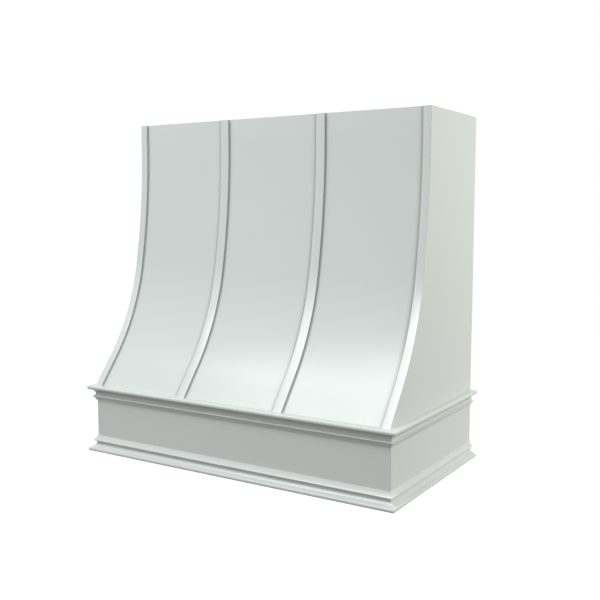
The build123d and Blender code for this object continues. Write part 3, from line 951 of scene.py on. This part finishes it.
def zinc_plate():
    """Zinc plating with fine scratches."""
    name = "zinc_plate"
    if name in bpy.data.materials:
        return bpy.data.materials[name]
    material, nodes, shader = new_material(name)
    place = nodes.add("ShaderNodeTexCoord").outputs["Object"]
    haze = nodes.noise(place, 420.0, 3.0, 0.6)
    nodes.put(shader["Base Color"], nodes.mix(haze, (0.62, 0.60, 0.54, 1), (0.80, 0.77, 0.68, 1)))
    nodes.put(shader["Metallic"], 1.0)
    nodes.put(shader["Roughness"], nodes.spread(haze, 0.3, 0.7, 0.26, 0.42))
    scratch = nodes.noise(nodes.vector("MULTIPLY", place, (9000.0, 9000.0, 1200.0)), 1.0)
    bump = nodes.add("ShaderNodeBump", {"Height": scratch, "Distance": 0.00001})
    nodes.put(shader["Normal"], bump.outputs["Normal"])
    return material


# ------------------------------------------------------------------ operators
class HoodOperator:
    """What every build operator of the hood shares"""

    bl_options = {"REGISTER", "UNDO"}

    @classmethod
    def poll(cls, context):
        return context.scene is not None


class HOOD_OT_side_panels(HoodOperator, bpy.types.Operator):
    """Build the two painted side panels"""

    bl_idname = "hood.side_panels"
    bl_label = "Side Panels"

    def execute(self, context):
        scene = context.scene
        materials = [satin_paint(scene.hood_paint), birch_upright(scene.hood_wood)]
        for side, node in ((-1, "side_panel_left"), (1, "side_panel_right")):
            piece = build_side_panel(scene.hood_body, side, materials)
            finish_mesh(piece)
            hang(piece, node)
        return {"FINISHED"}


class HOOD_OT_front_panel(HoodOperator, bpy.types.Operator):
    """Build the curved front panel"""

    bl_idname = "hood.front_panel"
    bl_label = "Curved Front Panel"

    def execute(self, context):
        scene = context.scene
        front = front_paint(scene.hood_paint, scene.hood_body, scene.hood_straps)
        piece = build_front_panel(scene.hood_body, [front, birch_level(scene.hood_wood)])
        finish_mesh(piece)
        hang(piece, "curved_front_panel")
        return {"FINISHED"}


class HOOD_OT_straps(HoodOperator, bpy.types.Operator):
    """Build the four straps that run down the front"""

    bl_idname = "hood.straps"
    bl_label = "Straps"

    def execute(self, context):
        scene = context.scene
        body, straps = scene.hood_body, scene.hood_straps
        half, sixth = body.width / 2, body.width / 6
        spans = {
            "edge_strap_left": (-half, -half + straps.edge_width),
            "inner_strap_left": (-sixth - straps.inner_width / 2, -sixth + straps.inner_width / 2),
            "inner_strap_right": (sixth - straps.inner_width / 2, sixth + straps.inner_width / 2),
            "edge_strap_right": (half - straps.edge_width, half),
        }
        for node, (low, high) in spans.items():
            piece = build_strap(body, straps, f"painted_{node}", low, high,
                                [strap_paint(scene.hood_paint, scene.hood_body)])
            finish_mesh(piece, weigh=False)
            catch_light(piece, body, straps)
            hang(piece, node)
        return {"FINISHED"}


class HOOD_OT_apron(HoodOperator, bpy.types.Operator):
    """Build the apron's front board"""

    bl_idname = "hood.apron"
    bl_label = "Apron"

    def execute(self, context):
        scene = context.scene
        materials = [satin_paint(scene.hood_paint), birch_level(scene.hood_wood)]
        piece = build_apron(scene.hood_body, materials)
        finish_mesh(piece)
        hang(piece, "apron_front_board")
        return {"FINISHED"}


class HOOD_OT_mouldings(HoodOperator, bpy.types.Operator):
    """Build the upper and lower mouldings with their mitred corners"""

    bl_idname = "hood.mouldings"
    bl_label = "Mouldings"

    def execute(self, context):
        scene = context.scene
        for upper, level in ((True, "upper"), (False, "lower")):
            for where in ("left", "front", "right"):
                piece = build_moulding(scene.hood_body, scene.hood_moulding, where, upper,
                                       [satin_paint(scene.hood_paint)])
                finish_mesh(piece)
                hang(piece, f"{level}_moulding_{where}")
        return {"FINISHED"}


class HOOD_OT_screws(HoodOperator, bpy.types.Operator):
    """Build threaded screws with cross recesses"""

    bl_idname = "hood.screws"
    bl_label = "Screws"

    def execute(self, context):
        scene = context.scene
        for node in ("hood_cleat_screws", "insert_rail_screws", "edge_former_screws"):
            piece = build_screws(scene.hood_screw, node, [zinc_plate()])
            finish_mesh(piece, math.radians(50))
            hang(piece, node)
        return {"FINISHED"}


class HOOD_OT_raw_frame(HoodOperator, bpy.types.Operator):
    """Give the ribs, rails, cleats, blocks and dowels their wood"""

    bl_idname = "hood.raw_frame"
    bl_label = "Raw Wood"

    def execute(self, context):
        wood = context.scene.hood_wood
        upright, level = birch_upright(wood), birch_level(wood)
        poplar = {
            axis: raw_wood(f"poplar_{'xyz'[axis]}", wood, wood.poplar, wood.poplar_dark, axis)
            for axis in range(3)
        }
        beech = raw_wood("beech_dowel", wood, wood.beech, wood.beech_dark, 0, 0.8)
        woods = {
            "inner_rib_left": upright, "inner_rib_right": upright,
            "edge_former_left": upright, "edge_former_right": upright,
            "top_front_rail": level, "top_back_rail": level, "lower_back_rail": level,
            "hood_cleat": level, "wall_cleat": level,
            "insert_rail_front": poplar[0], "insert_rail_back": poplar[0],
            "insert_rail_left": poplar[1], "insert_rail_right": poplar[1],
            "corner_blocks": poplar[2], "rib_glue_blocks": poplar[2],
            "frame_dowels": beech,
        }
        for node, material in woods.items():
            dress(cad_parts[node], material)
        return {"FINISHED"}


def dress(piece, material):
    """Gives a CAD node one material on all its slots."""
    if not piece.material_slots:
        piece.data.materials.append(material)
    for slot in piece.material_slots:
        slot.material = material


# ------------------------------------------------------------------ stage
LAMPS = {
    # name: (azimuth, elevation, size, watts, colour)
    "left": (-50.0, 50.0, 1.0, 20.0, (0.94, 0.97, 1.0)),
    "front": (-15.0, 52.0, 1.0, 33.0, (0.96, 0.99, 1.0)),
    "right": (10.0, 50.0, 1.0, 14.0, (0.98, 1.0, 0.95)),
    "side_high": (105.0, 35.0, 1.0, 18.0, (0.98, 1.0, 0.90)),
    "side_low": (120.0, 10.0, 1.0, 28.0, (0.97, 1.0, 0.90)),
}


def add_lamp(stage, name, azimuth, elevation, size, watts, tint):
    """A soft lamp that faces the hood; azimuth 0 is square on, 90 is at its right."""
    data = bpy.data.lights.new(name, "AREA")
    data.shape = "SQUARE"
    data.size = size
    data.energy = watts
    data.color = tint
    turn, rise = math.radians(azimuth), math.radians(elevation)
    away = Vector((math.sin(turn) * math.cos(rise), -math.cos(turn) * math.cos(rise),
                   math.sin(rise)))
    lamp = bpy.data.objects.new(name, data)
    lamp.location = Vector(stage.aim) + away * stage.lamp_distance
    lamp.rotation_euler = (-away).to_track_quat("-Z", "Y").to_euler()
    bpy.context.scene.collection.objects.link(lamp)


def add_camera(stage):
    """The photograph's camera."""
    data = bpy.data.cameras.new("camera")
    data.lens = stage.lens
    data.sensor_width = 36.0
    camera = bpy.data.objects.new("camera", data)
    camera.location = stage.camera_at
    camera.rotation_euler = (math.pi / 2 - stage.pitch, 0.0, stage.azimuth)
    bpy.context.scene.collection.objects.link(camera)
    bpy.context.scene.camera = camera


def floor_material(stage):
    """Pale floor, white to the camera away from the hood, that shows the hood's shadow below it."""
    material, nodes, shader = new_material("pale_floor")
    place = nodes.add("ShaderNodeTexCoord").outputs["Object"]
    mottle = nodes.spread(nodes.noise(place, 3.0, 3.0), 0.3, 0.7, 0.0, 1.0)
    pale = opaque(stage.floor)
    nodes.put(shader["Base Color"], nodes.mix(mottle, opaque([c * 0.985 for c in pale[:3]]), pale))
    nodes.put(shader["Roughness"], 0.9)
    seen = nodes.add("ShaderNodeLightPath").outputs
    straight = nodes.math("MAXIMUM", seen["Is Camera Ray"],
                          nodes.math("MAXIMUM", seen["Is Glossy Ray"],
                                     seen["Is Transmission Ray"]))
    shader["Emission Color"].default_value = (1, 1, 1, 1)
    away = nodes.vector("LENGTH", place, (0.0, 0.0, 0.0), "Value")
    glow = nodes.spread(away, stage.near_reach, stage.far_reach, stage.near_glow, stage.far_glow)
    nodes.put(shader["Emission Strength"], nodes.math("MULTIPLY", straight, glow))
    return material


def add_floor(stage):
    """A wide floor below the hanging hood."""
    reach, grid = 14.0, 8
    points = [(-reach + 2 * reach * i / grid, -reach + 2 * reach * j / grid, 0.0)
              for j in range(grid + 1) for i in range(grid + 1)]
    row = grid + 1
    faces = [(j * row + i, j * row + i + 1, (j + 1) * row + i + 1, (j + 1) * row + i)
             for j in range(grid) for i in range(grid)]
    floor = add_piece("floor", points, faces, [floor_material(stage)])
    floor.location.z = -stage.hang_height


def set_world(stage):
    """Even light all round, and a white background for what the camera sees."""
    world = bpy.data.worlds.new("studio")
    bpy.context.scene.world = world
    world.use_nodes = True
    world.node_tree.nodes.clear()
    nodes = Nodes(world.node_tree)
    seen = nodes.add("ShaderNodeLightPath").outputs
    straight = nodes.math("MAXIMUM", seen["Is Camera Ray"],
                          nodes.math("MAXIMUM", seen["Is Glossy Ray"],
                                     seen["Is Transmission Ray"]))
    strength = nodes.math("ADD", nodes.math("MULTIPLY", straight, 1.0 - stage.ambient),
                          stage.ambient)
    light = nodes.add("ShaderNodeBackground", {"Color": (1, 1, 1, 1), "Strength": strength})
    nodes.add("ShaderNodeOutputWorld", {"Surface": light.outputs["Background"]})


class HOOD_OT_stage(HoodOperator, bpy.types.Operator):
    """Set up the floor, the lamps, the background and the camera"""

    bl_idname = "hood.stage"
    bl_label = "Stage"

    def execute(self, context):
        stage = context.scene.hood_stage
        add_floor(stage)
        set_world(stage)
        for name, values in LAMPS.items():
            add_lamp(stage, name, *values)
        add_camera(stage)
        context.scene.view_settings.view_transform = "Standard"
        return {"FINISHED"}


class HOOD_PT_panel(bpy.types.Panel):
    """Sizes, looks and build steps of the range hood cover"""

    bl_idname = "HOOD_PT_panel"
    bl_label = "Range Hood Cover"
    bl_space_type = "VIEW_3D"
    bl_region_type = "UI"
    bl_category = "Range Hood"

    def draw(self, context):
        for name, kind in SETTINGS.items():
            box = self.layout.box()
            box.label(text=kind.__doc__)
            group = getattr(context.scene, name)
            for key in kind.__annotations__:
                box.prop(group, key)
        for operator in BUILD_STEPS:
            self.layout.operator(operator.bl_idname)


SETTINGS = {
    "hood_body": HoodBody,
    "hood_straps": HoodStraps,
    "hood_moulding": HoodMoulding,
    "hood_screw": HoodScrew,
    "hood_paint": HoodPaint,
    "hood_wood": HoodWood,
    "hood_stage": HoodStage,
}
BUILD_STEPS = (
    HOOD_OT_side_panels,
    HOOD_OT_front_panel,
    HOOD_OT_straps,
    HOOD_OT_apron,
    HOOD_OT_mouldings,
    HOOD_OT_screws,
    HOOD_OT_raw_frame,
    HOOD_OT_stage,
)


def register():
    for kind in (*SETTINGS.values(), *BUILD_STEPS, HOOD_PT_panel):
        bpy.utils.register_class(kind)
    for name, kind in SETTINGS.items():
        setattr(bpy.types.Scene, name, PointerProperty(type=kind))


def unregister():
    for name in SETTINGS:
        delattr(bpy.types.Scene, name)
    for kind in reversed((*SETTINGS.values(), *BUILD_STEPS, HOOD_PT_panel)):
        bpy.utils.unregister_class(kind)


def main():
    register()
    bpy.ops.hood.side_panels()
    bpy.ops.hood.front_panel()
    bpy.ops.hood.straps()
    bpy.ops.hood.apron()
    bpy.ops.hood.mouldings()
    bpy.ops.hood.screws()
    bpy.ops.hood.raw_frame()
    bpy.ops.hood.stage()


if __name__ == "__main__":
    main()
